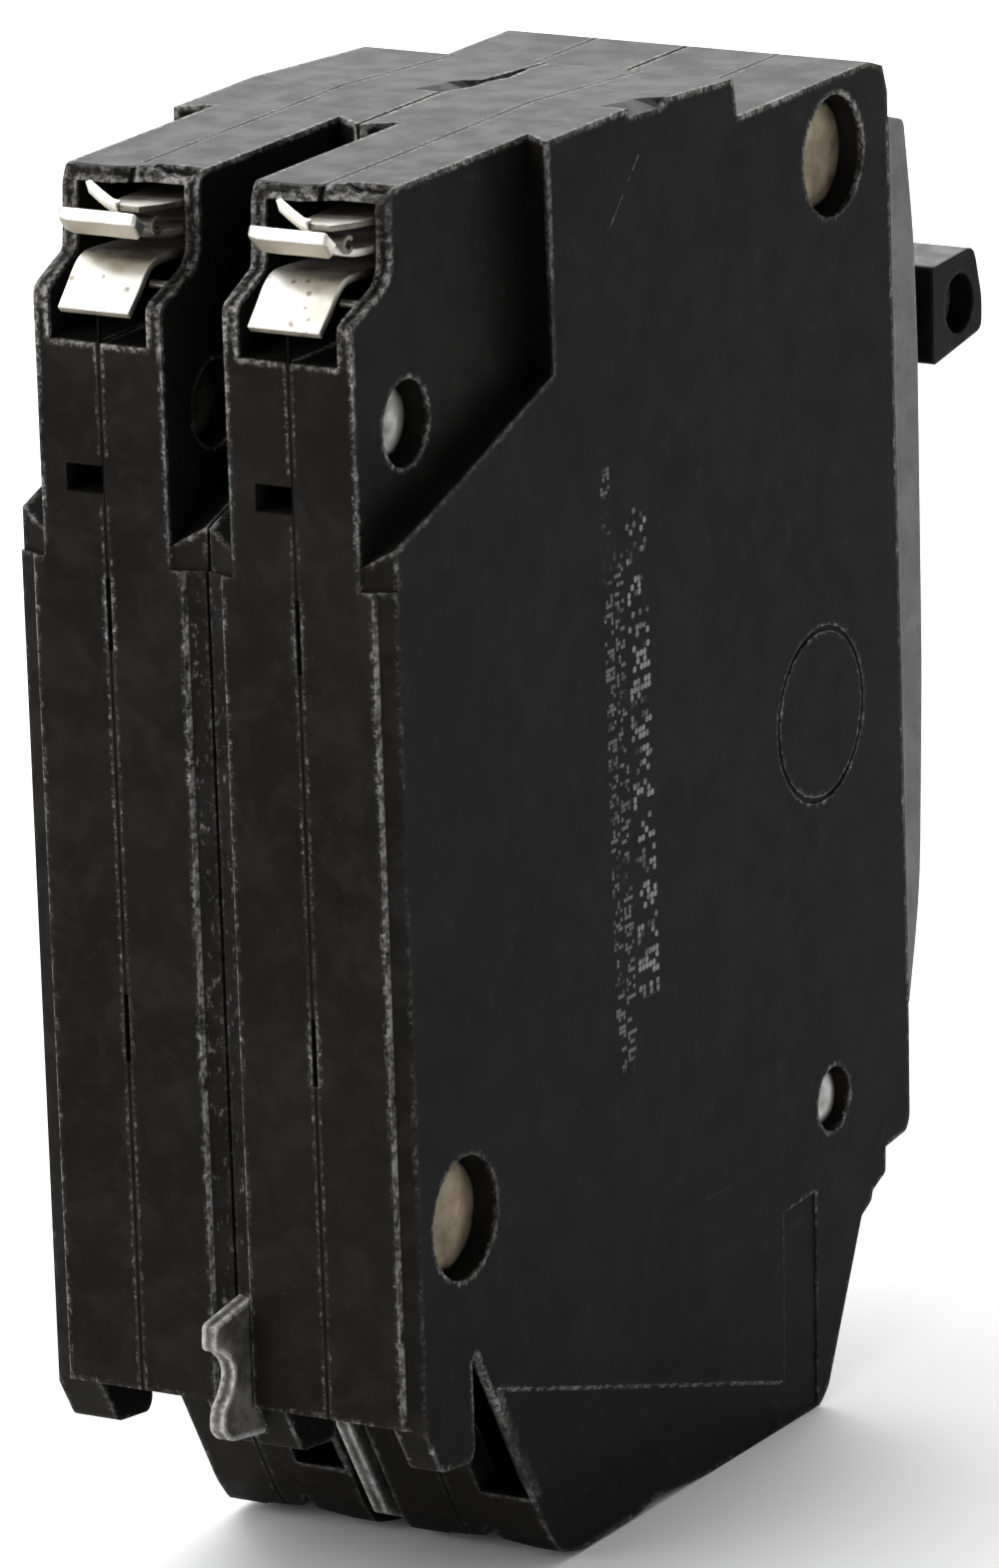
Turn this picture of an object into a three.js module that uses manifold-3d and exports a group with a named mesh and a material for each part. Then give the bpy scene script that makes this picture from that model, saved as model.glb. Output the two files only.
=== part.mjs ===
// Two-pole plug-in circuit breaker. Millimetres, +Z up, +Y is the panel side, -Y the handle side.
import * as THREE from 'three';
import { mergeVertices } from 'three/addons/utils/BufferGeometryUtils.js';
import Module from 'manifold-3d';

const wasm = await Module();
wasm.setup();

// ---- driving dimensions -------------------------------------------------
const POLE_PITCH = 12.7;
const POLE_WIDTH = 12.5;
const PARTING_GAP = 0.05;
const WALL = 1.35;
const NECK_HALF = 4.25;
const RIDGE_HALF = 5.02;
const NECK_WALL = 0.95;
const CASE_BOTTOM = -67.4;
const CASE_TOP = 18.4;
const CASE_FRONT = -60.4;
const HOOK_REACH = 3.65;
const BIG_HOLE_R = 3.74;
const BIG_HEAD_R = 3.45;
const BIG_SHANK_R = 2.0;
const BIG_SINK = 1.3;
const LINE_HOLE_R = 2.6;
const LINE_HEAD_R = 2.2;
const LINE_SINK = 1.25;
const LOAD_HOLE_R = 2.05;
const LOAD_HEAD_R = 1.8;
const LOAD_SINK = 0.75;
const SMALL_SHANK_R = 1.2;
const HEAD_THICK = 0.9;
const UPPER_TIE = [-53.4, 10.4];
const LOWER_TIE = [-5.9, -42.8];
const LINE_RIVET = [-5.7, 4.6];
const LOAD_RIVET = [-50.5, -48.3];
const HANDLE_PIVOT = [-50, -10.5];
const ARM_PIVOT = [-44, -3.5];
const CRADLE_PIVOT = [-13, -13];
const ARMATURE_PIVOT = [-31, -33];
const TRIP_PIVOT = [-50.1, -23.7];
const PIN_R = 0.9;
const THIN_PIN_R = 0.7;
const RUNNING = 0.06;
const TRUNNION_R = 1.5;
const TRIP_SHAFT_R = 1.4;
const PIN_REACH = 5.4;
const LEG_FRONT = 6.05;
const SHIELD_R = 8.2;
const TIE_HALF = 12.2;
const TIE_HOLE = [-69.8, -2.4];
const TIE_HOLE_R = 1.9;
const SCREW_SEAT = [-45.6, -58.6];
const SCREW_TILT = Math.atan2(-4.7, -9.4);
const SCREW_R = 1.45;
const SCREW_LENGTH = 12.5;
const TIE_FRONT = -72.8;

const HALF = POLE_WIDTH / 2;
const CAVITY_HALF = HALF - WALL;
const NECK_CAVITY = NECK_HALF - NECK_WALL;
const ORIGIN_Y = (HOOK_REACH + TIE_FRONT) / 2;
const ORIGIN_Z = CASE_BOTTOM;

// ---- solids -------------------------------------------------------------
function closed(geometry) {
  const g = geometry.clone();
  g.deleteAttribute('normal');
  g.deleteAttribute('uv');
  return mergeVertices(g, 1e-4);
}

function solid(geometry) {
  const g = closed(geometry);
  const triVerts = new Uint32Array(g.index.array);
  const vertProperties = new Float32Array(g.attributes.position.array);
  return new wasm.Manifold(new wasm.Mesh({ numProp: 3, vertProperties, triVerts }));
}

function shapeOf(points) {
  const shape = new THREE.Shape();
  points.forEach(([u, v], i) => (i ? shape.lineTo(u, v) : shape.moveTo(u, v)));
  shape.closePath();
  return shape;
}

// a (y, z) outline pushed along x
function plate(points, x0, x1) {
  const g = new THREE.ExtrudeGeometry(shapeOf(points), { depth: x1 - x0, bevelEnabled: false });
  const turn = new THREE.Matrix4().set(0, 0, 1, x0, 1, 0, 0, 0, 0, 1, 0, 0, 0, 0, 0, 1);
  return solid(g.applyMatrix4(turn));
}

// an (x, y) outline pushed along z
function column(points, z0, z1) {
  const g = new THREE.ExtrudeGeometry(shapeOf(points), { depth: z1 - z0, bevelEnabled: false });
  return solid(g.translate(0, 0, z0));
}

// a closed body from its corners and faces, turned to face outwards
function hull(vertices, index) {
  const make = (tri) => new wasm.Manifold(new wasm.Mesh({
    numProp: 3,
    vertProperties: new Float32Array(vertices),
    triVerts: new Uint32Array(tri),
  }));
  const body = make(index);
  return body.volume() > 0 ? body : make([...index].reverse());
}

// a solid between two anticlockwise (y, z) outlines of equal length, at x0 and x1
function taper(first, last, x0, x1) {
  const n = first.length;
  const vertices = [...first.flatMap(([y, z]) => [x0, y, z]), ...last.flatMap(([y, z]) => [x1, y, z])];
  const caps = THREE.ShapeUtils.triangulateShape(first.map(([y, z]) => new THREE.Vector2(y, z)), []);
  const index = caps.flatMap(([a, b, c]) => [a, c, b, n + a, n + b, n + c]);
  first.forEach((_, i) => {
    const j = (i + 1) % n;
    index.push(i, j, n + i, j, n + j, n + i);
  });
  return hull(vertices, index);
}

// an (x, z) outline pushed along y
function row(points, y0, y1) {
  const g = new THREE.ExtrudeGeometry(shapeOf(points), { depth: y1 - y0, bevelEnabled: false });
  return solid(g.rotateX(Math.PI / 2).translate(0, y1, 0));
}

function box(x0, x1, y0, y1, z0, z1) {
  const g = new THREE.BoxGeometry(x1 - x0, y1 - y0, z1 - z0);
  return solid(g.translate((x0 + x1) / 2, (y0 + y1) / 2, (z0 + z1) / 2));
}

// a round bar along x
function bar([y, z], r, x0, x1, sides = 28, rEnd = r) {
  const g = new THREE.CylinderGeometry(rEnd, r, x1 - x0, sides);
  return solid(g.rotateZ(-Math.PI / 2).translate((x0 + x1) / 2, y, z));
}

const sum = (...parts) => parts.reduce((a, b) => a.add(b));
const cut = (body, ...tools) => tools.reduce((a, b) => a.subtract(b), body);

// replace each corner of an outline by a short arc of the given radius
function soften(points, radius, steps = 3) {
  const out = [];
  points.forEach((p, i) => {
    const r = p[2] ?? radius;
    const a = points[(i + points.length - 1) % points.length];
    const b = points[(i + 1) % points.length];
    const da = Math.hypot(a[0] - p[0], a[1] - p[1]);
    const db = Math.hypot(b[0] - p[0], b[1] - p[1]);
    const k = Math.min(r, da * 0.45, db * 0.45);
    if (k < 0.02) {
      out.push([p[0], p[1]]);
      return;
    }
    const s = [p[0] + ((a[0] - p[0]) * k) / da, p[1] + ((a[1] - p[1]) * k) / da];
    const e = [p[0] + ((b[0] - p[0]) * k) / db, p[1] + ((b[1] - p[1]) * k) / db];
    for (let n = 0; n <= steps; n += 1) {
      const t = n / steps;
      const w = [(1 - t) * (1 - t), 2 * t * (1 - t), t * t];
      out.push([w[0] * s[0] + w[1] * p[0] + w[2] * e[0], w[0] * s[1] + w[1] * p[1] + w[2] * e[1]]);
    }
  });
  return out;
}

// outline of a bent strip of even thickness that follows a path
function strip(path, thick) {
  const left = [];
  const right = [];
  path.forEach((p, i) => {
    const a = path[Math.max(i - 1, 0)];
    const b = path[Math.min(i + 1, path.length - 1)];
    const one = unit([p[0] - a[0], p[1] - a[1]]);
    const two = unit([b[0] - p[0], b[1] - p[1]]);
    const mid = unit([one[0] + two[0], one[1] + two[1]]);
    const ref = i === 0 ? two : one;
    const stretch = 1 / Math.max(0.5, mid[0] * ref[0] + mid[1] * ref[1]);
    const n = [-mid[1] * stretch * thick / 2, mid[0] * stretch * thick / 2];
    left.push([p[0] + n[0], p[1] + n[1]]);
    right.push([p[0] - n[0], p[1] - n[1]]);
  });
  return [...right, ...left.reverse()];
}

function unit([a, b]) {
  const n = Math.hypot(a, b);
  return n < 1e-9 ? [0, 0] : [a / n, b / n];
}

// a round wire that follows 3-D points
function wire(points, r, sides = 8, steps = 40) {
  const curve = new THREE.CatmullRomCurve3(points.map((p) => new THREE.Vector3(...p)));
  const frames = curve.computeFrenetFrames(steps, false);
  const vertices = [];
  const index = [];
  for (let i = 0; i <= steps; i += 1) {
    const c = curve.getPoint(i / steps);
    for (let j = 0; j < sides; j += 1) {
      const a = (j / sides) * Math.PI * 2;
      const v = c.clone();
      v.addScaledVector(frames.normals[i], Math.cos(a) * r);
      v.addScaledVector(frames.binormals[i], Math.sin(a) * r);
      vertices.push(v.x, v.y, v.z);
    }
  }
  for (let i = 0; i < steps; i += 1) {
    for (let j = 0; j < sides; j += 1) {
      const a = i * sides + j;
      const b = i * sides + ((j + 1) % sides);
      index.push(a, b, a + sides, b, b + sides, a + sides);
    }
  }
  const last = steps * sides;
  for (let j = 1; j < sides - 1; j += 1) {
    index.push(0, j + 1, j);
    index.push(last, last + j, last + j + 1);
  }
  return hull(vertices, index);
}

// ---- materials ----------------------------------------------------------
const paint = (color, metalness, roughness) => (
  new THREE.MeshStandardMaterial({ color, metalness, roughness })
);
const MATERIALS = {
  case: paint(0x1c1c1b, 0, 0.45),
  handle: paint(0x111111, 0, 0.3),
  label: paint(0x8f8f8d, 0, 0.6),
  tinned: paint(0xd9d4c6, 1, 0.35),
  steel: paint(0x9a9a98, 1, 0.4),
  brass: paint(0x9c8f68, 1, 0.45),
  copper: paint(0xb87350, 1, 0.35),
  silver: paint(0xdedede, 1, 0.3),
};

const group = new THREE.Group();
group.name = 'circuit_breaker';

function emit(name, body, slot, x = 0) {
  const m = body.simplify(0.004).getMesh();
  const g = new THREE.BufferGeometry();
  const positions = new Float32Array(m.numVert * 3);
  for (let i = 0; i < m.numVert; i += 1) {
    positions[i * 3] = m.vertProperties[i * m.numProp] + x;
    positions[i * 3 + 1] = m.vertProperties[i * m.numProp + 1] - ORIGIN_Y;
    positions[i * 3 + 2] = m.vertProperties[i * m.numProp + 2] - ORIGIN_Z;
  }
  g.setAttribute('position', new THREE.BufferAttribute(positions, 3));
  g.setIndex(Array.from(m.triVerts));
  g.computeVertexNormals();
  const mesh = new THREE.Mesh(g, MATERIALS[slot]);
  mesh.name = name;
  group.add(mesh);
}

// ---- case ---------------------------------------------------------------
// side view of one case half; lip and hip shape the mouth round the jaws
function outline(lip, hip) {
  return soften([
    [0, -54.3, 0.3], [0, hip, 0.5], ...lip, [-28.2, CASE_TOP, 0.15], [-41.3, 17.6, 0.25],
    [-41.7, 15.2, 0.1], [CASE_FRONT, 15.2, 2.2], [CASE_FRONT, -46.0, 0.1], [-60.2, -52.35, 0.4],
    [-59.7, -53.0, 0.2], [-57.0, -53.3, 0.1], [-56.9, -54.9, 0.2], [-55.2, -55.6, 0.1], [-55.0, -56.2, 0.2],
    [-53.7, -56.8, 0.1], [-48.9, -66.4, 0.3], [-47.7, CASE_BOTTOM, 0.6], [-33.6, CASE_BOTTOM, 0.3],
    [-30.9, -67.1, 0.5], [-27.4, -66.8, 0.5], [-25.0, -67.2, 0.5], [-18.9, CASE_BOTTOM, 1.2],
    [-15.7, -66.6, 0.5], [-14.3, -64.9, 0.5], [-7.1, -52.1, 0.2], [-6.5, -51.2, 0.2],
    [-LEG_FRONT, -51.8, 0.2], [-LEG_FRONT, -54.3, 0],
  ], 0.2, 2);
}

const COVER_LIP = [[-3.3, 13.5, 0.3], [-3.45, 15.0, 0.3], [-3.6, 17.4, 0.3], [-4.1, CASE_TOP, 0.3]];
const COVER_OUTLINE = outline(COVER_LIP, 12.0);
const BASE_LIP = [[-3.9, 12.9, 0.4], [-4.6, 13.8, 0.4], [-4.7, 17.4, 0.4], [-5.1, CASE_TOP, 0.3]];
const BASE_OUTLINE = outline(BASE_LIP, 11.5);

function legs() {
  const leg = soften([
    [0, -50, 0], [0, -53.6, 1.0], [-2.2, -57.3, 0.4], [-5.6, -57.7, 0.4],
    [-LEG_FRONT, -57.1, 0.4], [-LEG_FRONT, -50, 0],
  ], 0);
  return sum(plate(leg, -HALF, -4.15), plate(leg, 3.2, HALF));
}

// side pockets that make the narrow line-end neck; their walls slope outwards
function neckPockets() {
  const floor = [[2, 25], [-20.5, 25], [-20.5, 3.9], [0, -2.7], [2, -2.7]];
  const rim = [[2, 25], [-19.1, 25], [-19.1, 4.6], [0, -1.8], [2, -1.8]];
  const past = HALF + 1;
  const beyond = (past - HALF) / (HALF - NECK_HALF);
  const mouth = rim.map(([y, z], i) => [y + (y - floor[i][0]) * beyond, z + (z - floor[i][1]) * beyond]);
  return [taper(mouth, floor, -past, -NECK_HALF), taper(floor, mouth, NECK_HALF, past)];
}

// the rear face stands out as a raised strip between two edges that slope down to a drop
function rearBevels() {
  const far = HALF + 0.5;
  const edge = (inner, drop, z0, z1) => [-1, 1].map((s) => {
    const wedge = [
      [s * inner, 0.4], [s * inner, 0], [s * (inner + 0.1), -0.3], [s * HALF, drop],
      [s * far, drop], [s * far, 0.4],
    ];
    return column(wedge, z0, z1);
  });
  return [...edge(RIDGE_HALF, -0.66, -60, -3.9), ...edge(NECK_HALF, -0.95, -4, -0.5)];
}

function cavities() {
  const wide = [
    [-2.2, -4.2], [-20.9, 2.6], [-20.9, 16.4], [-27.4, 16.4], [-27.8, 15.6], [-40, 15.6],
    [-40.2, 13.2], [-57.2, 13.2], [-58.6, 11], [-58.6, -50.6], [-52.2, -54.2], [-47.2, -64.4],
    [-18.8, -65.6], [-16.4, -64.6], [-9.2, -51.8], [-8, -49.8], [-2.2, -49.8],
  ];
  const neck = [
    [-2.2, -6], [-2.2, 7.9], [-16, 7.9], [-18.2, 10], [-18.2, 16.8], [-22.5, 16.8], [-22.5, 0],
  ];
  const jaw = [[3, 9], [3, 17.55], [-19, 17.55], [-19, 12.2], [-16.2, 9]];
  return sum(
    plate(wide, -CAVITY_HALF, 3.0),
    plate(wide.filter(([, z]) => z > -50.7), 2.9, CAVITY_HALF),
    plate(neck, -3.3, 3.3),
    plate(jaw, -NECK_CAVITY, NECK_CAVITY),
  );
}

// posts that carry the rivets and end stops inside the cavity
function bosses() {
  const reach = HALF - 0.6;
  const neck = NECK_HALF - 0.3;
  return sum(
    bar(UPPER_TIE, 4.7, -reach, reach, 16),
    bar(LOWER_TIE, 4.7, -reach, reach, 16),
    bar(LOAD_RIVET, 3.5, -reach, reach, 14),
    bar(LINE_RIVET, 3.4, -neck, neck, 14),
  );
}

function rivetHoles() {
  const far = HALF + 1;
  const through = [
    bar(UPPER_TIE, BIG_SHANK_R + 0.1, -far, far, 16),
    bar(LOWER_TIE, BIG_SHANK_R + 0.1, -far, far, 16),
    bar(LOAD_RIVET, SMALL_SHANK_R + 0.1, -far, far, 16),
    bar(LINE_RIVET, SMALL_SHANK_R + 0.1, -far, far, 16),
  ];
  const sinks = [-1, 1].flatMap((s) => {
    const side = (at, r, depth, face) => {
      const [a, b] = [s * (face - depth), s * far];
      return bar(at, r, Math.min(a, b), Math.max(a, b), 24);
    };
    return [
      side(UPPER_TIE, BIG_HOLE_R, BIG_SINK + HEAD_THICK, HALF),
      side(LOWER_TIE, BIG_HOLE_R, BIG_SINK + HEAD_THICK, HALF),
      side(LOAD_RIVET, LOAD_HOLE_R, LOAD_SINK + HEAD_THICK, HALF),
      side(LINE_RIVET, LINE_HOLE_R, LINE_SINK + HEAD_THICK, NECK_HALF),
    ];
  });
  return [...through, ...sinks];
}

function pivotBores(side) {
  const bores = [
    bar(HANDLE_PIVOT, TRUNNION_R + RUNNING, -PIN_REACH - 0.2, PIN_REACH + 0.2, 16),
    bar(ARM_PIVOT, PIN_R, -PIN_REACH, PIN_REACH, 12),
    bar(CRADLE_PIVOT, PIN_R, -PIN_REACH, PIN_REACH, 12),
    bar(ARMATURE_PIVOT, PIN_R, -PIN_REACH, PIN_REACH, 12),
  ];
  const [a, b] = side > 0 ? [-HALF - 1, PIN_REACH] : [-PIN_REACH, HALF + 1];
  bores.push(bar(TRIP_PIVOT, TRIP_SHAFT_R + RUNNING, a, b, 16));
  return bores;
}

// grooves, slots and openings on the outside of one pole
function openings(side) {
  const far = HALF + 1;
  const handleSlot = box(-2.35, 2.35, -66, -57.5, -19.4, -1.4);
  const busSlot = box(0.06, 2.5, -4, 1, 0.1, 1.75);
  const slits = [[-9.3, -4.9], [-34, -29.9]].map(([a, b]) => box(-0.16, 0.16, -1.2, 1, a, b));
  const topDip = taper(
    [[-28.5, 19.5], [-35.2, 19.5], [-35.0, 18.3], [-32.6, 17.25], [-28.8, 17.5]],
    [[-28.5, 19.5], [-33.4, 19.5], [-33.2, 18.7], [-31.8, 18.5], [-28.8, 18.5]],
    -far, -HALF + 2.4,
  );
  const chipped = [[-1.0, 19], [-1.0, 18.3], [-2.4, 17.8], [-3.4, 17.85], [-4.0, 18.3], [-4.0, 19]];
  const lipChip = row(chipped, -5.9, -4);
  const crack = column([
    [far, -29.4], [HALF - 0.2, -29.8], [HALF - 0.55, -31.6], [HALF - 0.3, -33.2], [HALF - 0.7, -35.2],
    [HALF - 0.4, -36.8], [HALF - 0.15, -38.4], [far, -38.7],
  ], 16.6, 20);
  const ringDepth = 0.12;
  const ring = bar(TRIP_PIVOT, 5.5, -far, -HALF + ringDepth, 28);
  const disc = bar(TRIP_PIVOT, 5.15, -far - 1, 0, 28);
  const pocket = [[0.1, 0], [-0.1, 0], [0, 0.1], [0, -0.1]].map(([dy, dz]) => (
    plate(HOOK_OUTLINE, HALF - 1.1, far).translate([0, dy, dz])
  ));
  const inner = side < 0 ? [crack, ...pocket] : [];
  return [handleSlot, busSlot, ...slits, topDip, lipChip, cut(ring, disc), ...inner, ...loadEnd()];
}

// wire window, screwdriver hole and stepped walls of the load end
function loadEnd() {
  const far = HALF + 1;
  const window = plate([[-3, -51.4], [-3, -62.4], [-24, -62.4], [-24, -51.4]], -CAVITY_HALF, -2.4);
  const edge = [[-3, -51.4], [-3, -62.4], [-13.9, -62.4], [-7.7, -51.4]];
  const relief = plate(edge, -HALF + 0.45, -CAVITY_HALF + 0.1);
  const step = [[-6.05, -58], [-6.05, -54.2], [-12, -53.6], [-61, -53.6], [-61, -70], [-6.05, -70]];
  const low = [[-8.8, -54.2], [-43.4, -64.5], [-43.8, -53.7], [-47.9, -53.5], [-47.4, -70], [-12, -70]];
  const facetDepth = 0.12;
  const hole = new THREE.CylinderGeometry(3.05, 3.05, 12, 28).translate(-0.9, 6.6, 0);
  return [
    window,
    relief,
    plate(step, NECK_HALF - 0.1, far),
    plate(low, -far, -HALF + facetDepth),
    tilted(solid(hole)),
    underside(),
  ];
}

// the bottom edge steps up in the middle and has a narrow notch
function underside() {
  const edge = [
    [HALF, -66.2], [3.8, -66.9], [2.2, -67.0], [1.4, -66.4], [-1.2, -66.1], [-2.0, -65.0], [-2.4, -66.1],
    [-4.8, -66.6], [-HALF, -67.3], [-HALF - 1, -69], [HALF + 1, -69], [HALF + 1, -66],
  ];
  return row(edge, -24, -4);
}

// raised escutcheon along the front, behind the label
const FRONT_RIDGE = soften([
  [-59.5, 10.4], [-61.9, 10.2, 0.5], [-62.9, 3.5, 2], [-63.1, -4, 2], [-62.7, -24, 3],
  [-61.8, -38, 3], [-59.5, -44.8],
], 0, 3);

// hook plate that catches the rail of the panel, with a tail beside the load end
const HOOK_OUTLINE = soften([
  [-6.6, -46.2], [-0.7, -47.6], [3.5, -48.2, 0.3], [HOOK_REACH, -49.7, 0.4], [2.6, -50.1, 0.3],
  [1.7, -51.0, 0.4], [1.6, -52.0, 0.4], [2.3, -53.0, 0.3], [2.95, -53.5, 0.4], [3.15, -54.8, 0.4],
  [2.3, -55.6, 0.3], [-1.4, -56.2], [-6.4, -53.6], [-7.6, -53.2], [-14.9, -65.6], [-17, -66.5],
  [-17, -60], [-9, -50],
], 0.25, 2);

function pockets(side) {
  const shells = sum(
    plate(BASE_OUTLINE, -HALF, -1),
    taper(BASE_OUTLINE, COVER_OUTLINE, -1, 1),
    plate(COVER_OUTLINE, 1, HALF),
  );
  const caseBody = sum(shells, legs(), plate(FRONT_RIDGE, -HALF + 0.45, HALF - 0.45));
  let body = cut(caseBody, ...neckPockets(), ...rearBevels());
  const posts = bosses().intersect(body);
  body = body.subtract(cavities());
  body = body.add(posts);
  return cut(body, ...rivetHoles(), ...pivotBores(side), ...openings(side));
}

function largest(body) {
  const parts = body.decompose();
  parts.sort((a, b) => b.volume() - a.volume());
  return parts[0];
}

function caseHalves(name, side) {
  const body = pockets(side);
  const lower = body.intersect(box(-20, -PARTING_GAP / 2, -90, 20, -90, 40));
  const upper = body.intersect(box(PARTING_GAP / 2, 20, -90, 20, -90, 40));
  emit(`${name}_base`, largest(lower), 'case', side * POLE_PITCH / 2);
  emit(`${name}_cover`, largest(upper), 'case', side * POLE_PITCH / 2);
}

// ---- line end -----------------------------------------------------------
function lineEnd(name, x) {
  const upper = strip([[-15.5, 15.0], [-7, 14.9], [-2.6, 15.2], [0.0, 16.5], [0.85, 16.5]], 0.75);
  const rightClip = column([[1.3, 2], [2.8, 2], [2.8, -0.6], [2.2, -0.6]], 13, 19);
  const leftClip = column([[-3.6, 2], [-1.9, 2], [-3.3, -0.6], [-3.6, -0.6]], 13, 19);
  const lip = cut(plate(upper, -3.0, 2.3), rightClip, leftClip);
  emit(`${name}_upper_jaw`, lip, 'tinned', x);
  const lower = strip([
    [-25.6, 12.9], [-19.4, 12.9], [-15.5, 13.1], [-8, 13.25], [-2.9, 13.35], [-1.7, 13.15],
    [-0.5, 12.0], [0.6, 10.95],
  ], 0.6);
  const waists = [[-4, -1.6], [1.6, 3]].map(([a, b]) => box(a, b, -30, -16, 10, 16));
  emit(`${name}_lower_jaw`, cut(plate(lower, -3.1, 2.0), ...waists), 'tinned', x);
  const leaf = strip([[-14.5, 16.85], [-6.5, 16.5], [-2.6, 16.65], [-1.2, 17.2]], 0.4);
  const leafClip = column([[-0.6, 2], [-4, 2], [-4, -2.6], [-3.4, -2.6], [-0.6, -0.9]], 14, 19);
  emit(`${name}_jaw_spring`, cut(plate(leaf, -3.2, 1.6), leafClip), 'steel', x);
  emit(`${name}_fixed_contact`, columnPad(-23.7, 11.35, 12.55), 'silver', x);
  emit(`${name}_arc_chute`, arcChute(), 'steel', x);
}

function columnPad(y, z0, z1) {
  const g = new THREE.CylinderGeometry(1.5, 1.5, z1 - z0, 16).rotateX(Math.PI / 2);
  return solid(g.translate(0, y, (z0 + z1) / 2));
}

// stacked steel fins with a slot for the arc, joined by two side plates
function arcChute() {
  const walls = [-3.0, 2.5].map((a) => box(a, a + 0.5, -19.6, -10.4, -3.2, 6.8));
  const fins = [-2.4, 0, 2.4, 4.8].map((z) => {
    const fin = [
      [-2.6, -10.8], [-2.6, -19.2], [-1.1, -19.2], [-0.8, -14.6], [0.8, -14.6], [1.1, -19.2],
      [2.6, -19.2], [2.6, -10.8],
    ];
    return column(fin, z, z + 0.8);
  });
  return sum(...walls, ...fins);
}

// ---- mechanism ----------------------------------------------------------
function pin(at, r = PIN_R - 0.02, reach = PIN_REACH - 0.15) {
  return bar(at, r, -reach, reach, 12);
}

function contactArm(name, x) {
  const side = soften([
    [-46.4, -5.0], [-46.4, -1.6], [-43.2, 0.2], [-33, 6.0], [-26.4, 9.0], [-22.4, 9.0],
    [-22.4, 7.6], [-26.6, 7.2], [-35, 2.2], [-38.6, -2.2], [-41.4, -5.9], [-44.4, -6.2],
  ], 0.8, 3);
  const arm = cut(plate(side, -0.9, 0.9), bar(ARM_PIVOT, PIN_R + RUNNING, -3, 3, 20));
  emit(`${name}_contact_arm`, arm, 'copper', x);
  emit(`${name}_contact_tip`, columnPad(-23.9, 9.05, 10.55), 'silver', x);
  emit(`${name}_arm_pin`, pin(ARM_PIVOT), 'steel', x);
  emit(`${name}_toggle_spring`, toggleSpring(), 'steel', x);
}

// tension spring with straight tails, hung under the contact arm
function toggleSpring() {
  const start = new THREE.Vector3(0, -36.0, -0.6);
  const end = new THREE.Vector3(0, -28.4, -16.6);
  const axis = end.clone().sub(start);
  const length = axis.length();
  axis.normalize();
  const side = new THREE.Vector3(1, 0, 0);
  const other = new THREE.Vector3().crossVectors(axis, side);
  const points = [];
  const turns = 7;
  const tail = 2.2;
  points.push(start.toArray());
  for (let i = 0; i <= turns * 10; i += 1) {
    const a = (i / 10) * Math.PI * 2;
    const p = start.clone().addScaledVector(axis, tail + ((length - 2 * tail) * i) / (turns * 10));
    p.addScaledVector(side, Math.cos(a) * 1.1).addScaledVector(other, Math.sin(a) * 1.1);
    points.push(p.toArray());
  }
  points.push(end.toArray());
  return wire(points, 0.26, 4, turns * 9);
}

function tripUnit(name, x) {
  const cradle = soften([
    [-10.8, -11.2], [-15.6, -11.4], [-24.0, -17.6], [-29.4, -22.9], [-30.3, -24.4],
    [-30.3, -25.3], [-28.6, -25.3], [-23.2, -21.4], [-15.0, -15.6], [-10.8, -14.8],
  ], 0.6, 3);
  const lever = cut(plate(cradle, -0.8, 0.8), bar(CRADLE_PIVOT, PIN_R + RUNNING, -3, 3, 20));
  emit(`${name}_cradle`, lever, 'steel', x);
  emit(`${name}_cradle_pin`, pin(CRADLE_PIVOT), 'steel', x);
  const strap = strip([[-24.4, -29.2], [-24.0, -36], [-23.6, -48.4]], 0.9);
  emit(`${name}_bimetal`, plate(strap, -2.0, 2.0), 'brass', x);
  emit(`${name}_magnet_yoke`, yoke(), 'steel', x);
  const blade = soften([
    [-31.6, -46.2], [-30.4, -46.2], [-30.2, -33], [-30.6, -27.0], [-29.8, -26.9], [-29.8, -25.9],
    [-31.5, -25.9], [-31.9, -33],
  ], 0.15, 2);
  const armature = cut(plate(blade, -1.9, 1.9), bar(ARMATURE_PIVOT, THIN_PIN_R + RUNNING, -3, 3, 16));
  emit(`${name}_armature`, armature, 'steel', x);
  emit(`${name}_armature_pin`, stepPin(), 'steel', x);
}

// pin with a thinner middle, where the armature turns on it
function stepPin() {
  const end = PIN_REACH - 0.15;
  return sum(
    bar(ARMATURE_PIVOT, THIN_PIN_R, -3, 3, 12),
    bar(ARMATURE_PIVOT, PIN_R - 0.02, 2.4, end, 12),
    bar(ARMATURE_PIVOT, PIN_R - 0.02, -end, -2.4, 12),
  );
}

// U-shaped steel around the bimetal
function yoke() {
  const back = box(-3.6, 3.6, -22.0, -20.9, -45.6, -36.4);
  const ears = [-3.6, 2.7].map((a) => box(a, a + 0.9, -27.6, -21, -45.6, -36.4));
  return sum(back, ...ears);
}

function braid(name, x) {
  const points = [
    [2.9, -24.6, -30.4], [3.1, -26.6, -27.8], [3.4, -31.5, -20.5], [3.4, -37.5, -13.5],
    [3.0, -40.6, -8.8], [2.4, -41.6, -5.0],
  ];
  const rope = wire(points, 0.95, 8, 16);
  const lug = box(2.05, 2.95, -25.6, -23.4, -33.4, -29.6);
  emit(`${name}_braid`, sum(rope, lug), 'copper', x);
}

// ---- load terminal ------------------------------------------------------
function tilted(body) {
  return body.rotate([(SCREW_TILT * 180) / Math.PI, 0, 0]).translate([0, SCREW_SEAT[0], SCREW_SEAT[1]]);
}

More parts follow.
